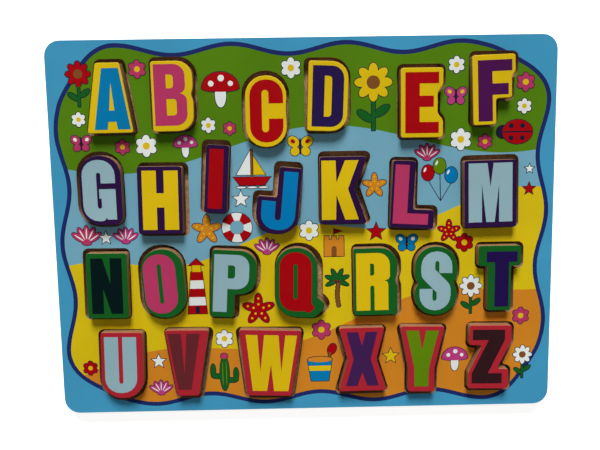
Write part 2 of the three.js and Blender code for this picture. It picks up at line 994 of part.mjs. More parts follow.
const boardLength = Math.max(...rowLengths) + 2 * END_MARGIN;

// Board: hardboard floor, pierced panel, and the printed sheet with the same openings
const boardOutline = rounded(
  shifted(rectangle(boardLength, boardWidth, BOARD_CORNER_RADIUS), -boardLength / 2, -boardWidth / 2),
);
const openings = recesses.map(({ outlines, place, turn }) =>
  outlines.recess.map((point) => point.clone().rotateAround(new THREE.Vector2(), turn).add(place)),
);

const puzzle = new THREE.Group();
const backing = piece('backing_board', plate(boardOutline, [], BACKING_THICKNESS), HARDBOARD, 0.85);
const panel = piece('top_panel', plate(boardOutline, openings, PANEL_THICKNESS), FIBREBOARD, 0.85);
const sheet = piece('printed_sheet', plate(boardOutline, openings, SHEET_THICKNESS), SHEET_BLUE, 0.35);
panel.position.z = BACKING_THICKNESS;
sheet.position.z = BACKING_THICKNESS + PANEL_THICKNESS;
puzzle.add(backing, panel, sheet);

// Letters: each loose block stands on the floor of its recess and carries its printed facing
for (const { letter, outlines, seat, seatTurn, colour } of recesses) {
  const name = `letter_${letter.toLowerCase()}`;
  const facing = plate(outlines.block, [], FACE_THICKNESS);
  const ink = plate(outlines.print, outlines.counters, FACE_THICKNESS / 2 + INK_RELIEF);
  ink.translate(0, 0, FACE_THICKNESS / 2);

  const block = piece(`${name}_block`, plate(outlines.block, [], BLOCK_THICKNESS), FIBREBOARD, 0.8);
  const face = piece(`${name}_face`, joined(facing, ink), colour, 0.35);
  face.position.z = BLOCK_THICKNESS;

  const body = new THREE.Group();
  body.add(block, face);
  body.position.set(seat.x, seat.y, BACKING_THICKNESS);
  body.rotation.z = seatTurn;
  puzzle.add(body);
}

export default puzzle;
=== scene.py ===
# %% [markdown]
# # A wooden alphabet puzzle
# The puzzle is a flat board with a printed picture, pierced by recesses in the shapes of the capital
# letters. A chunky letter block lies loose in each recess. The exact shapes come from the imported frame,
# so this lesson is about finish: eased edges, paper facings, inks, fibreboard and light.

# %% Load the frame
from math import cos, pi, radians, sin

import bpy
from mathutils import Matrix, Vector


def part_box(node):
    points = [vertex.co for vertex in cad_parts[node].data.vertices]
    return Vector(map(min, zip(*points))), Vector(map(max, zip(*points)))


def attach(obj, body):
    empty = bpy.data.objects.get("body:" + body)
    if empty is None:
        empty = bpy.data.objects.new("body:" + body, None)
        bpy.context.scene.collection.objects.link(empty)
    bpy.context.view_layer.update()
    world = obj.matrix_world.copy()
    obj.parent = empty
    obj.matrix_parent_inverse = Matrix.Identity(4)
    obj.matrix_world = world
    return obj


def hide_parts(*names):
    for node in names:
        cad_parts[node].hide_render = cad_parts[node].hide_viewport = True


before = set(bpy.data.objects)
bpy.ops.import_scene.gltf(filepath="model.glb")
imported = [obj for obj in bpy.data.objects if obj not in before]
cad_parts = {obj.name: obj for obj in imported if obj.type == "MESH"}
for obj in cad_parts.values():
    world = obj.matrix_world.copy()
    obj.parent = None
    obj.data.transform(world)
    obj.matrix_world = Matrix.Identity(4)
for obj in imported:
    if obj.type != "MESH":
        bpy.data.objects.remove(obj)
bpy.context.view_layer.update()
MM = 0.001
bpy.context.scene.view_settings.view_transform = "Standard"
print("nodes in the frame:", len(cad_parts))

# %% [markdown]
# Operators work on whatever is selected, and the frame arrives selected. These small helpers select one
# piece, open its mesh with nothing picked, and pick edges or faces by their place.

# %% Helpers for selecting
def only(*pieces):
    if bpy.context.mode != "OBJECT":
        bpy.ops.object.mode_set(mode="OBJECT")
    bpy.ops.object.select_all(action="DESELECT")
    for piece in pieces:
        piece.select_set(True)
    bpy.context.view_layer.objects.active = pieces[0]


def open_mesh(piece, kind="FACE", pick_all=False):
    only(piece)
    bpy.ops.object.mode_set(mode="EDIT")
    bpy.ops.mesh.select_mode(type=kind)
    bpy.ops.mesh.select_all(action="SELECT" if pick_all else "DESELECT")


def close_mesh():
    bpy.ops.object.mode_set(mode="OBJECT")


def keep_picked(piece, items, wanted):
    """Leaves picked only those edges or faces that are picked now and pass the test."""
    close_mesh()
    picked = [item for item in getattr(piece.data, items) if item.select and wanted(item)]
    for kind in (piece.data.vertices, piece.data.edges, piece.data.polygons):
        kind.foreach_set("select", [False] * len(kind))
    for item in picked:
        item.select = True
    bpy.ops.object.mode_set(mode="EDIT")


# %% [markdown]
# A board maker sands every edge a little, and light catches on that soft rim. A copy of a frame node is
# loose triangles, so it is merged and its flat faces are joined first. Then its sharp edges at one
# height are bevelled. The cap gets a hair-thin inset, so that smooth shading stays on the rim and the
# cap stays flat.

# %% Copies with eased rims
MERGE = 0.002 * MM
FLAT = radians(0.5)
SHARP = radians(60)
SMOOTH = radians(40)
HAIR = 0.08 * MM
LEVEL = 0.999
RIM_STEPS = 3


def copy_of(node, name):
    piece = bpy.data.objects.new(name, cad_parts[node].data.copy())
    piece.data.materials.clear()
    bpy.context.scene.collection.objects.link(piece)
    open_mesh(piece, pick_all=True)
    bpy.ops.mesh.remove_doubles(threshold=MERGE)
    bpy.ops.mesh.dissolve_limited(angle_limit=FLAT)
    close_mesh()
    return piece


def ease_rim(piece, height, radius):
    open_mesh(piece, "EDGE")
    bpy.ops.mesh.edges_select_sharp(sharpness=SHARP)
    points = piece.data.vertices
    keep_picked(piece, "edges", lambda edge: all(
        abs(points[i].co.z - height) < HAIR / 2 for i in edge.vertices))
    bpy.ops.mesh.bevel(offset=radius, segments=RIM_STEPS, affect="EDGES", clamp_overlap=True)
    bpy.ops.mesh.select_mode(type="FACE")
    bpy.ops.mesh.select_all(action="SELECT")
    keep_picked(piece, "polygons", lambda face: (
        abs(face.center.z - height) < HAIR / 2 and abs(face.normal.z) > LEVEL))
    bpy.ops.mesh.inset(thickness=HAIR, use_boundary=True)
    close_mesh()
    only(piece)
    bpy.ops.object.shade_smooth_by_angle(angle=SMOOTH)


def finish(piece, body, material, node=None):
    piece.data.materials.append(material)
    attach(piece, body)
    if node:
        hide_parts(node)


# %% [markdown]
# Two finishes cover the puzzle: printed paper under clear laminate, and cut fibreboard. Each effect is
# one node group with its own inputs, so that every ink and every board shares it. The shader stays in
# the material, and the group gives it only what changes over the surface.

# %% Node group tools
def linear(colour):
    """Linear colour from a six-figure colour code, as written for the screen."""
    parts = [int(colour[i:i + 2], 16) / 255 for i in (0, 2, 4)]
    return tuple(p / 12.92 if p <= 0.04045 else ((p + 0.055) / 1.055) ** 2.4 for p in parts) + (1,)


def new_group(name, inputs):
    group = bpy.data.node_groups.new(name, "ShaderNodeTree")
    for label, kind in inputs:
        group.interface.new_socket(label, in_out="INPUT", socket_type=kind)
    for label, kind in (("Colour", "NodeSocketColor"), ("Roughness", "NodeSocketFloat"),
                        ("Height", "NodeSocketFloat")):
        group.interface.new_socket(label, in_out="OUTPUT", socket_type=kind)
    return group, group.nodes.new("NodeGroupInput"), group.nodes.new("NodeGroupOutput")


def noise(tree, place, scale, detail):
    node = tree.nodes.new("ShaderNodeTexNoise")
    node.inputs["Scale"].default_value = scale
    node.inputs["Detail"].default_value = detail
    tree.links.new(place, node.inputs["Vector"])
    return node.outputs["Fac"]


NOISE_LOW, NOISE_HIGH = 0.3, 0.7


def span(tree, value, low, high):
    """Maps a noise, which keeps near its middle, on to a range."""
    node = tree.nodes.new("ShaderNodeMapRange")
    for label, number in (("From Min", NOISE_LOW), ("From Max", NOISE_HIGH),
                          ("To Min", low), ("To Max", high)):
        node.inputs[label].default_value = number
    tree.links.new(value, node.inputs["Value"])
    return node.outputs["Result"]


def shade(tree, colour, value):
    """Makes a colour lighter or darker by a factor about 1."""
    node = tree.nodes.new("ShaderNodeVectorMath")
    node.operation = "SCALE"
    tree.links.new(colour, node.inputs[0])
    tree.links.new(value, node.inputs["Scale"])
    return node.outputs["Vector"]


# %% [markdown]
# A press leaves a fine grain in a flat ink and a slow drift of tone across the sheet, and the laminate
# over it is a little uneven. A scanned texture could show that, but noise of a few sizes does it at any
# distance. Noise sizes are counts in a metre.

# %% Printed paper under laminate
DRIFT, GRAIN, GLOSS, TOOTH = 22, 2600, 130, 900


def make_print_group():
    group, given, out = new_group("press_print", [("Ink", "NodeSocketColor")])
    place = group.nodes.new("ShaderNodeTexCoord").outputs["Object"]
    drift = span(group, noise(group, place, DRIFT, 2), 0.94, 1.06)
    grain = span(group, noise(group, place, GRAIN, 1), 0.96, 1.04)
    toned = shade(group, shade(group, given.outputs["Ink"], drift), grain)
    group.links.new(toned, out.inputs["Colour"])
    group.links.new(span(group, noise(group, place, GLOSS, 3), 0.42, 0.54), out.inputs["Roughness"])
    group.links.new(noise(group, place, TOOTH, 2), out.inputs["Height"])
    return group


PRINT_GROUP = make_print_group()
print("nodes in the print group:", len(PRINT_GROUP.nodes))

# %% [markdown]
# Fibreboard is pressed wood dust: flecked, dull, and layered along its thickness, which shows on every
# cut side. A Mapping node stretches the noise across the board and squeezes it through the thickness,
# so the same group gives layers on the sides and soft flecks on the flat.

# %% Cut fibreboard
LAYERING = (0.25, 0.25, 2.2)
LAYERS, CLOUDS, FLECKS, NAP, FIBRES = 900, 55, 2400, 700, 1500


def make_fibre_group():
    group, given, out = new_group("pressed_fibre", [
        ("Board", "NodeSocketColor"), ("Fleck", "NodeSocketColor")])
    place = group.nodes.new("ShaderNodeTexCoord").outputs["Object"]
    layers = group.nodes.new("ShaderNodeMapping")
    layers.inputs["Scale"].default_value = LAYERING
    group.links.new(place, layers.inputs["Vector"])
    layered = layers.outputs["Vector"]
    tone = span(group, noise(group, layered, LAYERS, 4), 0.78, 1.16)
    cloud = span(group, noise(group, place, CLOUDS, 3), 0.9, 1.1)
    flecks = span(group, noise(group, layered, FLECKS, 2), -1.2, 1.2)
    mix = group.nodes.new("ShaderNodeMixRGB")
    mix.use_clamp = True
    group.links.new(flecks, mix.inputs["Fac"])
    group.links.new(given.outputs["Board"], mix.inputs["Color1"])
    group.links.new(given.outputs["Fleck"], mix.inputs["Color2"])
    toned = shade(group, shade(group, mix.outputs["Color"], tone), cloud)
    group.links.new(toned, out.inputs["Colour"])
    group.links.new(span(group, noise(group, place, NAP, 2), 0.72, 0.95), out.inputs["Roughness"])
    group.links.new(noise(group, layered, FIBRES, 4), out.inputs["Height"])
    return group


FIBRE_GROUP = make_fibre_group()
print("nodes in the fibre group:", len(FIBRE_GROUP.nodes))

# %% [markdown]
# A material is one of the groups with its own colours, wired to a shader through a shallow bump. The inks
# are named for their places on the puzzle or for their tone. The blocks take the panel's fibreboard in a
# darker tone, which is painted shade on their sides, and the hardboard back is paler than both.

# %% Materials from the groups
BUMP_DEPTH = 0.1 * MM
PRINT_BUMP, PRINT_SHINE = 0.05, 0.07
FIBRE_BUMP, BACK_BUMP, FIBRE_SHINE = 0.35, 0.3, 0.2


def material_from(name, group, colours, bump, shine):
    material = bpy.data.materials.new(name)
    material.use_nodes = True
    tree = material.node_tree
    shader = tree.nodes["Principled BSDF"]
    shader.inputs["Specular IOR Level"].default_value = shine
    effect = tree.nodes.new("ShaderNodeGroup")
    effect.node_tree = group
    for label, colour in colours.items():
        effect.inputs[label].default_value = linear(colour)
    relief = tree.nodes.new("ShaderNodeBump")
    relief.inputs["Strength"].default_value = bump
    relief.inputs["Distance"].default_value = BUMP_DEPTH
    tree.links.new(effect.outputs["Colour"], shader.inputs["Base Color"])
    tree.links.new(effect.outputs["Roughness"], shader.inputs["Roughness"])
    tree.links.new(effect.outputs["Height"], relief.inputs["Height"])
    tree.links.new(relief.outputs["Normal"], shader.inputs["Normal"])
    return material


# %% Inks and boards
INK_COLOURS = {
    "border_blue": "3F92B8",
    "frame_navy": "1C2860",
    "meadow_green": "4F7B0C",
    "water_blue": "6EA2B6",
    "sand_yellow": "D0B612",
    "earth_orange": "C87E20",
    "yellow": "D4B30E",
    "purple": "290F3C",
    "green": "12581E",
    "red": "A6222E",
    "sky": "0073A5",
    "magenta": "B23A78",
    "scarlet": "A0030C",
    "indigo": "241446",
    "violet": "480F4A",
    "ice": "8DACB4",
    "bright_blue": "0074AF",
    "pink": "AE345E",
    "pine": "021616",
    "plum": "1E0C46",
    "maroon": "602328",
    "blue_violet": "3D1C4E",
    "lime": "5A8006",
    "charcoal": "2D1518",
    "white": "DDE2DE",
    "brown": "7A4A22",
    "line": "1A1830",
}
PAPER = material_from("paper_core", PRINT_GROUP, {"Ink": "A98E68"}, PRINT_BUMP, PRINT_SHINE)
INKS = {name: material_from(f"ink_{name}", PRINT_GROUP, {"Ink": colour}, PRINT_BUMP, PRINT_SHINE)
        for name, colour in INK_COLOURS.items()}
FIBREBOARD = material_from(
    "fibreboard", FIBRE_GROUP, {"Board": "B48C66", "Fleck": "8A6240"}, FIBRE_BUMP, FIBRE_SHINE)
# Painted shade: the panel's fibreboard made darker for the blocks, so that their lit sides look darker.
SHADED_BLOCK_BOARD = material_from(
    "block_board_painted_shade", FIBRE_GROUP, {"Board": "9E7450", "Fleck": "785236"}, FIBRE_BUMP, FIBRE_SHINE)
HARDBOARD = material_from(
    "hardboard", FIBRE_GROUP, {"Board": "C49E76", "Fleck": "9C764E"}, BACK_BUMP, FIBRE_SHINE)
print("inks:", len(INKS))

# %% [markdown]
# The board is three layers: a hardboard back, a pierced fibreboard panel and the printed sheet. The
# sheet's top edge is pressed down a little at the board's outline and around each recess, where the
# cutter came through.

# %% Board
BACK_RIM, SHEET_RIM = 0.5 * MM, 0.18 * MM
SHEET_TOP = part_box("printed_sheet")[1].z
backing = copy_of("backing_board", "board_back")
ease_rim(backing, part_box("backing_board")[0].z, BACK_RIM)
finish(backing, "board", HARDBOARD, "backing_board")

panel = copy_of("top_panel", "board_panel")
only(panel)
bpy.ops.object.shade_smooth_by_angle(angle=SMOOTH)
finish(panel, "board", FIBREBOARD, "top_panel")

sheet = copy_of("printed_sheet", "board_sheet")
ease_rim(sheet, SHEET_TOP, SHEET_RIM)
finish(sheet, "board", INKS["border_blue"], "printed_sheet")
print("board faces:", [len(part.data.polygons) for part in (backing, panel, sheet)])

# %% [markdown]
# The picture's ground is printed in broad areas of flat colour, one over the other. Each area is a thin
# slab of ink with the sheet's own openings, cut to a wavy outline. The slab is a squashed copy of the
# sheet, and a boolean with an extruded outline trims it, which keeps every edge of colour crisp.

# %% Slabs of ink
INK_STEP = 0.02 * MM


def cutter_from(points):
    """A tall block with the outline of these points, in millimetres."""
    bpy.ops.object.select_all(action="DESELECT")
    bpy.ops.mesh.primitive_circle_add(vertices=len(points), radius=MM, fill_type="NGON")
    block = bpy.context.object
    for vertex, (x, y) in zip(block.data.vertices, points):
        vertex.co = (x * MM, y * MM, SHEET_TOP - MM)
    open_mesh(block, pick_all=True)
    bpy.ops.mesh.extrude_region_move(TRANSFORM_OT_translate={"value": (0, 0, 2 * MM)})
    bpy.ops.mesh.select_all(action="SELECT")
    bpy.ops.mesh.normals_make_consistent(inside=False)
    close_mesh()
    return block


def ink_slab(name, level, outlines):
    slab = copy_of("printed_sheet", name)
    low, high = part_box("printed_sheet")
    for vertex in slab.data.vertices:
        upper = vertex.co.z > (low.z + high.z) / 2
        vertex.co.z = SHEET_TOP + INK_STEP * (level if upper else level - 1)
    for points in outlines:
        block = cutter_from(points)
        only(slab)
        trim = slab.modifiers.new("trim", "BOOLEAN")
        trim.operation = "INTERSECT"
        trim.object = block
        bpy.ops.object.modifier_apply(modifier=trim.name)
        bpy.data.objects.remove(block)
    return slab


# %% [markdown]
# The picture sits in a wavy frame with a dark line round it, and rolling lines part its meadow, water,
# sand and earth. The lines could be drawn by hand as curves. A sine along a rounded rectangle, or across
# the board, needs only a few numbers and gives an even wave.

# %% Outlines of the ground
PICTURE_LEFT, PICTURE_RIGHT = -144, 144
PICTURE_LOW, PICTURE_HIGH = -106, 107.5
PICTURE_CORNER = 34
RIPPLE, RIPPLES = 3, 14
LINE_WIDTH = 2.6


def wavy_frame(inset, count=480):
    """Points at even steps round a rounded rectangle, pushed out and in by a ripple."""
    straight_x = PICTURE_RIGHT - PICTURE_LEFT - 2 * PICTURE_CORNER
    straight_y = PICTURE_HIGH - PICTURE_LOW - 2 * PICTURE_CORNER
    bend = PICTURE_CORNER * pi / 2
    runs = [straight_x, bend, straight_y, bend] * 2
    centre = Vector(((PICTURE_LEFT + PICTURE_RIGHT) / 2, (PICTURE_LOW + PICTURE_HIGH) / 2))
    half = Vector((straight_x / 2, straight_y / 2))
    corners = [Vector((1, -1)), Vector((1, 1)), Vector((-1, 1)), Vector((-1, -1))]
    points = []
    for step in range(count):
        rest = sum(runs) * step / count
        side = 0
        while rest > runs[side]:
            rest -= runs[side]
            side += 1
        turn = side // 2 * pi / 2 + (rest / PICTURE_CORNER if side % 2 else 0) - pi / 2
        out = Vector((cos(turn), sin(turn)))
        place = centre + corners[side // 2] * half
        if side % 2 == 0:
            along = Vector((-out.y, out.x))
            place -= along * (runs[side] - rest)
        reach = PICTURE_CORNER - inset + RIPPLE * sin(2 * pi * RIPPLES * step / count)
        points.append(place + out * reach)
    return points


def below_wave(middle, slope, swing, length, start, count=120):
    """Everything under a line across the board, of this height at its middle, slope, swing and length."""
    reach = 160
    line = []
    for step in range(count + 1):
        x = reach - 2 * reach * step / count
        line.append((x, middle + slope * x + swing * sin(2 * pi * (x - start) / length)))
    return line + [(-reach, -reach), (reach, -reach)]


# %% Print the ground
GROUND = [
    ("frame_navy", [wavy_frame(0)]),
    ("meadow_green", [wavy_frame(LINE_WIDTH)]),
    ("water_blue", [wavy_frame(LINE_WIDTH), below_wave(50, 0.04, 11, 230, -48)]),
    ("sand_yellow", [wavy_frame(LINE_WIDTH), below_wave(-3, 0.16, 6, 130, -40)]),
    ("earth_orange", [wavy_frame(LINE_WIDTH), below_wave(-62, 0.2, 7, 170, 30)]),
]
for level, (ink, edges) in enumerate(GROUND, start=1):
    area = ink_slab(f"ground_{ink}", level, edges)
    finish(area, "board", INKS[ink])
    print(area.name, "faces:", len(area.data.polygons))

# %% [markdown]
# Small pictures are scattered between the recesses: flowers, a boat, a lighthouse and other seaside and
# garden things. Each is put together from discs and patches, added to one mesh per ink in edit mode.
# Inks that overlap lie at different levels. Shapes of one ink lie a thousandth of a millimetre apart, so
# that no two faces share a plane.

# %% Discs and patches of ink
FILL, OVER, TOP = 7, 8, 9
APART, APART_COUNT = 0.0015 * MM, 9
DISC_POINTS = 26
PRINTS = {}


def print_piece(ink, level):
    if (ink, level) not in PRINTS:
        name = f"print_{ink}_{level}"
        piece = bpy.data.objects.new(name, bpy.data.meshes.new(name))
        bpy.context.scene.collection.objects.link(piece)
        PRINTS[ink, level] = piece
    return PRINTS[ink, level]


def next_height(piece, level):
    """The height of a piece's next shape, a little off that of the last."""
    return SHEET_TOP + level * INK_STEP + APART * (len(piece.data.polygons) % APART_COUNT)


def disc(ink, x, y, width, height, turn=0, level=FILL):
    """An oval of ink, turned anticlockwise in degrees, with sizes in millimetres."""
    piece = print_piece(ink, level)
    centre = (x * MM, y * MM, next_height(piece, level))
    open_mesh(piece)
    bpy.ops.mesh.primitive_circle_add(vertices=DISC_POINTS, radius=0.5 * MM, fill_type="NGON",
                                      location=centre)
    bpy.ops.transform.resize(value=(width, height, 1), center_override=centre)
    bpy.ops.transform.rotate(value=-radians(turn), orient_axis="Z", center_override=centre)
    close_mesh()


def patch(ink, points, level=FILL):
    """A straight-sided area of ink, its corners in millimetres."""
    piece = print_piece(ink, level)
    height = next_height(piece, level)
    open_mesh(piece)
    bpy.ops.mesh.primitive_circle_add(vertices=len(points), radius=MM, fill_type="NGON",
                                      location=(0, 0, height))
    close_mesh()
    for vertex, (x, y) in zip(piece.data.vertices[-len(points):], points):
        vertex.co.x = x * MM
        vertex.co.y = y * MM


def bar(ink, x, y, width, height, level=FILL):
    left, right = x - width / 2, x + width / 2
    low, high = y - height / 2, y + height / 2
    patch(ink, [(left, low), (right, low), (right, high), (left, high)], level)


def around(x, y, radius, angle):
    return x + radius * cos(radians(angle)), y + radius * sin(radians(angle))


# %% [markdown]
# Each motif is drawn about its middle, in shares of its size, so one function serves every copy of it.
# Ovals make petals, wings and spots. Straight-sided patches make sails, towers and stars.

# %% Garden motifs
def blossom(x, y, size, ink, heart="yellow", petals=6):
    for i in range(petals):
        angle = 90 + 360 * i / petals
        px, py = around(x, y, 0.29 * size, angle)
        disc(ink, px, py, 0.42 * size, 0.34 * size, angle)
    disc(heart, x, y, 0.32 * size, 0.32 * size, level=OVER)


def tall_flower(x, y, size, ink):
    bar("green", x, y - 0.1 * size, 0.06 * size, 0.8 * size)
    disc("green", x - 0.14 * size, y - 0.26 * size, 0.3 * size, 0.13 * size, -35)
    disc("green", x + 0.14 * size, y - 0.18 * size, 0.3 * size, 0.13 * size, 35)
    for i in range(8):
        angle = 45 * i
        px, py = around(x, y + 0.28 * size, 0.19 * size, angle)
        disc(ink, px, py, 0.24 * size, 0.15 * size, angle, OVER)
    disc("brown", x, y + 0.28 * size, 0.22 * size, 0.22 * size, level=TOP)


def toadstool(x, y, size, ink="scarlet"):
    disc("white", x, y - 0.2 * size, 0.3 * size, 0.62 * size)
    cap = [around(x, y, 0.5 * size, angle) for angle in range(0, 181, 12)]
    patch(ink, [(px, y + 0.85 * (py - y)) for px, py in cap], OVER)
    disc(ink, x, y, size, 0.2 * size, level=OVER)
    for dx, dy, wide in ((-0.25, 0.12, 0.15), (0.02, 0.26, 0.17), (0.27, 0.12, 0.14)):
        disc("white", x + dx * size, y + dy * size, wide * size, wide * size, level=TOP)


def butterfly(x, y, size, wing, spot):
    for side in (-1, 1):
        disc(wing, x + 0.27 * side * size, y + 0.17 * size, 0.5 * size, 0.4 * size, 40 * side)
        disc(wing, x + 0.21 * side * size, y - 0.2 * size, 0.36 * size, 0.34 * size, -40 * side)
        disc(spot, x + 0.29 * side * size, y + 0.19 * size, 0.2 * size, 0.16 * size, 40 * side, OVER)
    disc("line", x, y, 0.1 * size, 0.66 * size, level=TOP)


def ladybird(x, y, size):
    disc("line", x - 0.36 * size, y, 0.4 * size, 0.4 * size)
    disc("scarlet", x + 0.06 * size, y, 0.86 * size, 0.68 * size, level=OVER)
    bar("line", x + 0.06 * size, y, 0.84 * size, 0.04 * size, TOP)
    for dx, dy in ((-0.12, 0.17), (-0.12, -0.17), (0.2, 0.17), (0.2, -0.17)):
        disc("line", x + dx * size, y + dy * size, 0.14 * size, 0.14 * size, level=TOP)


# %% Seaside motifs
def star(x, y, size, ink, points=5):
    corners = []
    for i in range(2 * points):
        reach = (0.5 if i % 2 == 0 else 0.22) * size
        corners.append(around(x, y, reach, 90 + 180 * i / points))
    patch(ink, corners)


def starfish(x, y, size, ink, dots):
    for i in range(5):
        angle = 90 + 72 * i
        px, py = around(x, y, 0.24 * size, angle)
        disc(ink, px, py, 0.52 * size, 0.24 * size, angle)
        for reach in (0.16, 0.34):
            px, py = around(x, y, reach * size, angle)
            disc(dots, px, py, 0.07 * size, 0.07 * size, level=OVER)


def sailboat(x, y, size):
    patch("white", [(x - 0.04 * size, y - 0.16 * size), (x - 0.04 * size, y + 0.5 * size),
                    (x - 0.42 * size, y - 0.16 * size)])
    patch("yellow", [(x + 0.04 * size, y - 0.16 * size), (x + 0.36 * size, y - 0.16 * size),
                     (x + 0.04 * size, y + 0.36 * size)])
    patch("scarlet", [(x - 0.34 * size, y - 0.44 * size), (x + 0.34 * size, y - 0.44 * size),
                      (x + 0.5 * size, y - 0.22 * size), (x - 0.5 * size, y - 0.22 * size)])
    bar("brown", x, y + 0.14 * size, 0.045 * size, 0.76 * size, OVER)
    for dx in (-0.3, 0, 0.3):
        disc("white", x + dx * size, y - 0.5 * size, 0.26 * size, 0.05 * size, level=OVER)


def lifebuoy(x, y, size, hole):
    disc("white", x, y, size, size)
    for i in range(4):
        angle = 45 + 90 * i
        wedge = [around(x, y, 0.5 * size, angle + turn) for turn in (-24, -12, 0, 12, 24)]
        wedge += [around(x, y, 0.2 * size, angle + turn) for turn in (24, -24)]
        patch("scarlet", wedge, OVER)
    disc(hole, x, y, 0.46 * size, 0.46 * size, level=TOP)


def shell(x, y, size, ink):
    for turn in (-56, -28, 0, 28, 56):
        px, py = around(x, y - 0.36 * size, 0.44 * size, 90 + turn)
        disc(ink, px, py, 0.72 * size, 0.27 * size, 90 + turn)
        px, py = around(x, y - 0.36 * size, 0.42 * size, 90 + turn)
        disc("white", px, py, 0.5 * size, 0.06 * size, 90 + turn, OVER)
    disc(ink, x, y - 0.38 * size, 0.42 * size, 0.18 * size)


def lighthouse(x, y, size):
    def stripe(start, end):
        """A band of the tapered tower, between two shares of its height."""
        corners = []
        for side, share in ((-1, start), (1, start), (1, end), (-1, end)):
            corners.append((x + side * (0.17 - 0.07 * share) * size, y + (0.76 * share - 0.5) * size))
        return corners

    patch("white", stripe(0, 1))
    for start in (0, 0.4, 0.8):
        patch("scarlet", stripe(start, start + 0.2), OVER)
    bar("yellow", x, y + 0.32 * size, 0.15 * size, 0.12 * size)
    patch("scarlet", [(x - 0.13 * size, y + 0.38 * size), (x + 0.13 * size, y + 0.38 * size),
                      (x, y + 0.5 * size)])
    bar("line", x, y - 0.43 * size, 0.08 * size, 0.12 * size, TOP)


def palm(x, y, size):
    for i in range(7):
        disc("brown", x + 0.012 * size * (i - 3) ** 2 / 3, y - 0.44 * size + 0.1 * i * size,
             0.11 * size, 0.12 * size)
    for turn in (-25, 20, 65, 115, 160, 205):
        px, py = around(x, y + 0.26 * size, 0.17 * size, turn)
        disc("green", px, py, 0.36 * size, 0.12 * size, turn, OVER)
    for dx, dy in ((-0.05, 0.23), (0.05, 0.22)):
        disc("maroon", x + dx * size, y + dy * size, 0.09 * size, 0.09 * size, level=TOP)


def sandcastle(x, y, size):
    bar("earth_orange", x, y - 0.2 * size, 0.7 * size, 0.6 * size)
    for dx in (-0.26, 0, 0.26):
        bar("earth_orange", x + dx * size, y + 0.16 * size, 0.16 * size, 0.14 * size)
    patch("scarlet", [(x, y + 0.32 * size), (x + 0.26 * size, y + 0.4 * size), (x, y + 0.48 * size)])
    bar("line", x, y + 0.35 * size, 0.03 * size, 0.26 * size, OVER)
    bar("brown", x, y - 0.36 * size, 0.18 * size, 0.28 * size, OVER)
    disc("brown", x, y - 0.22 * size, 0.18 * size, 0.18 * size, level=TOP)


def bucket(x, y, size):
    patch("sky", [(x - 0.3 * size, y - 0.5 * size), (x + 0.3 * size, y - 0.5 * size),
                  (x + 0.42 * size, y + 0.26 * size), (x - 0.42 * size, y + 0.26 * size)])
    disc("earth_orange", x, y + 0.26 * size, 0.84 * size, 0.2 * size, level=OVER)
    patch("yellow", [(x - 0.36 * size, y - 0.14 * size), (x + 0.36 * size, y - 0.14 * size),
                     (x + 0.39 * size, y + 0.04 * size), (x - 0.39 * size, y + 0.04 * size)], OVER)
    disc("scarlet", x + 0.42 * size, y + 0.62 * size, 0.28 * size, 0.4 * size, -25)
    bar("brown", x + 0.34 * size, y + 0.34 * size, 0.08 * size, 0.34 * size)


def cactus(x, y, size):
    disc("green", x, y, 0.26 * size, size)
    for side, lift in ((-1, 0.02), (1, -0.1)):
        disc("green", x + 0.2 * side * size, y + (lift - 0.1) * size, 0.34 * size, 0.14 * size)
        disc("green", x + 0.32 * side * size, y + (lift + 0.06) * size, 0.14 * size, 0.4 * size)
    disc("pink", x, y + 0.5 * size, 0.2 * size, 0.16 * size, level=OVER)
    for dx in (-0.05, 0.05):
        disc("lime", x + dx * size, y, 0.03 * size, 0.7 * size, level=OVER)


def balloons(x, y, size):
    thread = 0.02 * size
    low = y - 0.5 * size
    bunch = (("scarlet", -0.3, 0.18, FILL), ("bright_blue", 0.26, 0.12, FILL), ("lime", -0.02, 0.34, OVER))
    for ink, dx, dy, level in bunch:
        px, py = x + dx * size, y + dy * size
        high = py - 0.18 * size
        patch("line", [(x, low), (x + thread, low), (px + thread, high), (px, high)], FILL - 1)
        disc(ink, px, py, 0.3 * size, 0.38 * size, level=level)
        disc("white", px - 0.07 * size, py + 0.07 * size, 0.05 * size, 0.12 * size, -25, TOP)


# %% [markdown]
# The motifs fill the free ground between the recesses, with the garden mostly above and the seaside
# mostly below. A place is the middle of the motif in millimetres from the middle of the board, and then
# its size.

# %% Scatter the motifs
BLOSSOMS = [
    (-96.5, 95.5, 10.5, "pink"),
    (-132, 67, 8.5, "white"),
    (-6.8, 95, 12, "white"),
    (-56, 62.5, 9, "white"),
    (-43.5, 60.5, 8, "pink"),
    (90.5, 95.5, 10, "white"),
    (131.5, 85, 11, "pink"),
    (131, 71, 9, "white"),
    (-107, 50.5, 9, "pink"),
    (-93, 51, 13, "white"),
    (93.5, 52, 13, "white"),
    (108, 50.5, 9, "pink"),
    (2.5, -1, 12, "white"),
    (96.5, -10, 11, "scarlet"),
    (131.8, -56, 10.5, "pink"),
    (-50.3, -67, 11, "white"),
    (9.2, -62.5, 12, "pink"),
    (-133, -84, 9, "scarlet"),
]
STARS = [
    (-38, 18.5, 10, "white"),
    (135, 22, 7.5, "scarlet"),
    (135, 34, 5.5, "white"),
    (-119.5, -3.5, 8, "white"),
    (43, -2.5, 11, "scarlet"),
    (-91, -80.5, 9, "white"),
    (51.8, -80, 10, "yellow"),
]
for place in BLOSSOMS:
    blossom(*place)
for place in STARS:
    star(*place)
toadstool(-48.3, 84, 22)
toadstool(-70, 51, 14, "magenta")
toadstool(91.5, -82, 16, "magenta")
tall_flower(-131, 86.5, 24, "scarlet")
tall_flower(41.5, 76, 36, "yellow")
tall_flower(100.8, -43, 22, "white")
tall_flower(133.5, -86, 19, "white")
butterfly(90.3, 77.5, 13, "magenta", "yellow")
butterfly(-131.2, 53, 12, "pink", "white")
butterfly(-2, 49.5, 15, "yellow", "scarlet")
butterfly(61.5, -9.5, 13, "sky", "white")
ladybird(126, 56, 21)
sailboat(-31, 36.5, 22)
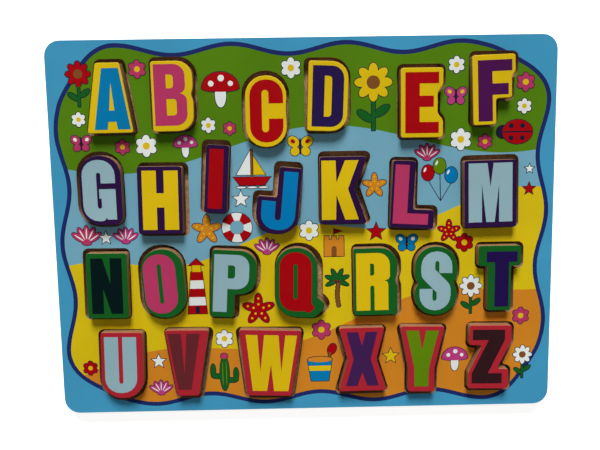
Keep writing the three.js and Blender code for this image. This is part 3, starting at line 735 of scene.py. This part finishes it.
lifebuoy(-40.8, 1.5, 18, "water_blue")
balloons(81.5, 28, 25)
shell(73.5, 45, 11, "pink")
shell(-131, -1.5, 13, "pink")
shell(-107.6, -2, 11, "magenta")
shell(-23, -10, 11, "magenta")
shell(-90.2, -97, 10.5, "magenta")
starfish(-59, 0.5, 18, "earth_orange", "yellow")
starfish(42, 25.5, 15, "earth_orange", "yellow")
starfish(87, -2.8, 14, "scarlet", "yellow")
starfish(-29, -49, 20, "scarlet", "yellow")
lighthouse(-66, -34, 34)
palm(19.2, -37.5, 22)
sandcastle(17.5, -8.5, 17)
bucket(8, -86, 18)
cactus(-50.8, -89, 22)
print("inks in the pictures:", len(PRINTS))

# %% [markdown]
# Printed pictures like these have a thin dark outline. A copy of all the filled shapes is fattened by
# the line's width and laid one level lower, so that only a rim of it shows round each shape.

# %% Thickness of the ink
def thicken(piece):
    open_mesh(piece, pick_all=True)
    bpy.ops.mesh.extrude_region_move(TRANSFORM_OT_translate={"value": (0, 0, -INK_STEP)})
    bpy.ops.mesh.select_all(action="SELECT")
    bpy.ops.mesh.normals_make_consistent(inside=False)
    close_mesh()


for piece in PRINTS.values():
    thicken(piece)
print("faces of ink with thickness:", sum(len(piece.data.polygons) for piece in PRINTS.values()))

# %% Outlines
OUTLINE = 0.4 * MM
copies = []
for (ink, level), piece in PRINTS.items():
    if level <= OVER and ink != "line":
        double = piece.copy()
        double.data = piece.data.copy()
        bpy.context.scene.collection.objects.link(double)
        copies.append(double)
only(*copies)
bpy.ops.object.join()
rims = bpy.context.object
rims.name = "print_outline"
open_mesh(rims, pick_all=True)
bpy.ops.transform.shrink_fatten(value=OUTLINE, use_even_offset=True)
close_mesh()
for vertex in rims.data.vertices:
    upper = vertex.co.z > SHEET_TOP + FILL * INK_STEP
    vertex.co.z = SHEET_TOP + INK_STEP * (FILL - 1 if upper else FILL - 2)
print("faces in the outline:", len(rims.data.polygons))


# %% Ride the prints on the board
def over_recess(piece):
    """How many of a piece's points have no sheet under them."""
    down = Vector((0, 0, -1))
    return sum(not sheet.ray_cast(vertex.co, down, distance=MM)[0] for vertex in piece.data.vertices)


for (ink, level), piece in list(PRINTS.items()) + [(("line", FILL), rims)]:
    finish(piece, "board", INKS[ink])
    print(piece.name, "faces:", len(piece.data.polygons), "points off the sheet:", over_recess(piece))

# %% [markdown]
# Each letter is a fibreboard block with a printed facing glued on. The facing's node carries the printed
# letter as a low relief, so one copy is cut off just under the relief to give the facing, and another
# just above to give the ink, which is then pressed down to a thin film. The border's ink runs over the
# eased rim, and only the cut side below it shows the paper's own colour.

# %% Letter pieces
INK_FILM = 0.06 * MM
FACING = 0.5 * MM
FACING_RIM, BLOCK_RIM = 0.42 * MM, 0.4 * MM
PAPER_SIDE = 0.5
CUT_MERGE = 1e-7
FACING_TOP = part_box("letter_a_block")[1].z + FACING
BELOW_RELIEF, ABOVE_BASE = FACING_TOP - HAIR / 4, FACING_TOP + HAIR / 4


def cut_at(piece, height, keep_upper):
    open_mesh(piece, pick_all=True)
    bpy.ops.mesh.bisect(plane_co=(0, 0, height), plane_no=(0, 0, 1), use_fill=True, threshold=CUT_MERGE,
                        clear_inner=keep_upper, clear_outer=not keep_upper)
    bpy.ops.mesh.select_all(action="SELECT")
    bpy.ops.mesh.normals_make_consistent(inside=False)
    close_mesh()


def make_block(name):
    block = copy_of(f"{name}_block", f"{name}_wood")
    ease_rim(block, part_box(f"{name}_block")[0].z, BLOCK_RIM)
    # The blocks get the darkened board, which is painted shade on their sides.
    finish(block, name, SHADED_BLOCK_BOARD, f"{name}_block")
    return block


def make_facing(name, border):
    facing = copy_of(f"{name}_face", f"{name}_facing")
    cut_at(facing, BELOW_RELIEF, keep_upper=False)
    ease_rim(facing, BELOW_RELIEF, FACING_RIM)
    finish(facing, name, INKS[border], f"{name}_face")
    facing.data.materials.append(PAPER)
    for face in facing.data.polygons:
        if face.normal.z < PAPER_SIDE:
            face.material_index = 1
    return facing


def make_ink(name, ink):
    film = copy_of(f"{name}_face", f"{name}_ink")
    cut_at(film, ABOVE_BASE, keep_upper=True)
    for vertex in film.data.vertices:
        upper = vertex.co.z > FACING_TOP + HAIR
        vertex.co.z = BELOW_RELIEF + (INK_FILM if upper else 0)
    finish(film, name, INKS[ink])
    return film


# %% [markdown]
# Every row of letters has a border colour of its own, and each letter its own ink. The three pieces of
# a letter ride on one body, so that they lift out of the recess together.

# %% All twenty-six letters
ROWS = [
    ("yellow", {"a": "sky", "b": "pink", "c": "scarlet", "d": "indigo", "e": "scarlet", "f": "violet"}),
    ("purple", {"g": "ice", "h": "yellow", "i": "scarlet", "j": "bright_blue", "k": "yellow",
                "l": "pink", "m": "ice"}),
    ("green", {"n": "pine", "o": "pink", "p": "ice", "q": "scarlet", "r": "yellow", "s": "ice",
               "t": "plum"}),
    ("red", {"u": "ice", "v": "maroon", "w": "yellow", "x": "blue_violet", "y": "lime",
             "z": "charcoal"}),
]
for border, inks in ROWS:
    for letter, ink in inks.items():
        name = f"letter_{letter}"
        parts = [make_block(name), make_facing(name, border), make_ink(name, ink)]
        print(name, "faces:", [len(part.data.polygons) for part in parts])

# %% [markdown]
# The floor is plain and pale. A broad lamp stands beyond the board's top edge, so that short soft
# shadows fall below each letter and light runs down the gaps at its sides. Three weak lamps and a dim sky
# fill the shadows.

# %% Floor
FLOOR_SIZE, FLOOR_GAP = 6, 0.05 * MM
FLOOR_TONE, FLOOR_ROUGHNESS, FLOOR_GLOW = (0.92, 0.92, 0.92, 1), 0.9, 0.72


def seen_rays(tree):
    """One for the rays by which a camera sees, straight or in a mirror or glass, and otherwise nought."""
    rays = tree.nodes.new("ShaderNodeLightPath")
    seen = rays.outputs["Is Camera Ray"]
    for ray in ("Is Glossy Ray", "Is Transmission Ray"):
        either = tree.nodes.new("ShaderNodeMath")
        either.operation = "MAXIMUM"
        tree.links.new(seen, either.inputs[0])
        tree.links.new(rays.outputs[ray], either.inputs[1])
        seen = either.outputs["Value"]
    return seen


only(backing)
bpy.ops.mesh.primitive_plane_add(size=FLOOR_SIZE, location=(0, 0, -FLOOR_GAP))
floor = bpy.context.object
floor.name = "floor"
pale = bpy.data.materials.new("pale_floor")
pale.use_nodes = True
nodes, links = pale.node_tree.nodes, pale.node_tree.links
matt = nodes["Principled BSDF"]
matt.inputs["Base Color"].default_value = FLOOR_TONE
matt.inputs["Roughness"].default_value = FLOOR_ROUGHNESS
matt.inputs["Emission Color"].default_value = (1, 1, 1, 1)
lift = nodes.new("ShaderNodeMath")
lift.operation = "MULTIPLY"
lift.inputs[1].default_value = FLOOR_GLOW
links.new(seen_rays(pale.node_tree), lift.inputs[0])
links.new(lift.outputs["Value"], matt.inputs["Emission Strength"])
floor.data.materials.append(pale)
print("floor across, in metres:", floor.dimensions.x)

# %% Light
def lamp(name, place, size, power):
    light = bpy.data.lights.new(name, "AREA")
    light.size = size
    light.energy = power
    holder = bpy.data.objects.new(name, light)
    holder.location = place
    holder.rotation_euler = (-Vector(place)).to_track_quat("-Z", "Y").to_euler()
    bpy.context.scene.collection.objects.link(holder)


LAMPS = [
    ("key", (-0.26, 6.66, 4.42), 2.8, 832),
    ("left_fill", (-0.9, 0.1, 0.9), 0.8, 1),
    ("right_fill", (0.9, 0.1, 0.9), 0.8, 1),
    ("near_fill", (0, -0.55, 0.35), 0.5, 0.5),
]
for name, place, size, power in LAMPS:
    lamp(name, place, size, power)
print("lamps:", len(LAMPS))

# %% [markdown]
# The sky is dim because the camera sees it mirrored in the laminate, as a veil. Only a band of it along
# the floor's far edge is white, as a pale wall would be, for low views. A real wall would do too, but it
# would send more light to the sides of the blocks.

# %% Sky
SKY, WALL = 0.095, 1
WALL_FULL, WALL_END = 0.14, 0.24
world = bpy.data.worlds.new("even_sky")
world.use_nodes = True
nodes, links = world.node_tree.nodes, world.node_tree.links
nodes["Background"].inputs["Color"].default_value = (1, 1, 1, 1)
rise = nodes.new("ShaderNodeSeparateXYZ")
links.new(nodes.new("ShaderNodeTexCoord").outputs["Generated"], rise.inputs["Vector"])
wall = nodes.new("ShaderNodeMapRange")
for label, number in (("From Min", WALL_FULL), ("From Max", WALL_END),
                      ("To Min", WALL - SKY), ("To Max", 0)):
    wall.inputs[label].default_value = number
links.new(rise.outputs["Z"], wall.inputs["Value"])
glow = nodes.new("ShaderNodeMath")
glow.operation = "MULTIPLY_ADD"
glow.inputs[2].default_value = SKY
links.new(seen_rays(world.node_tree), glow.inputs[0])
links.new(wall.outputs["Result"], glow.inputs[1])
links.new(glow.outputs["Value"], nodes["Background"].inputs["Strength"])
bpy.context.scene.world = world
print("sky:", SKY, "wall:", WALL)

# %% [markdown]
# The camera looks almost straight down from a little above the board's middle, as over a table, with a
# slight roll. Its place and turn were worked out from the board's corners and its 4 to 3 outline.

# %% Camera
LENS, SENSOR = 39, 36
EYE = (-7.72 * MM, 48.5 * MM, 397.63 * MM)
EYE_TURN = (-6.761, -0.822, -0.903)
camera = bpy.data.cameras.new("camera")
camera.lens = LENS
camera.sensor_width = SENSOR
viewer = bpy.data.objects.new("camera", camera)
viewer.location = EYE
viewer.rotation_euler = [radians(turn) for turn in EYE_TURN]
bpy.context.scene.collection.objects.link(viewer)
bpy.context.scene.camera = viewer
print("camera above the sheet, in metres:", EYE[2] - SHEET_TOP)
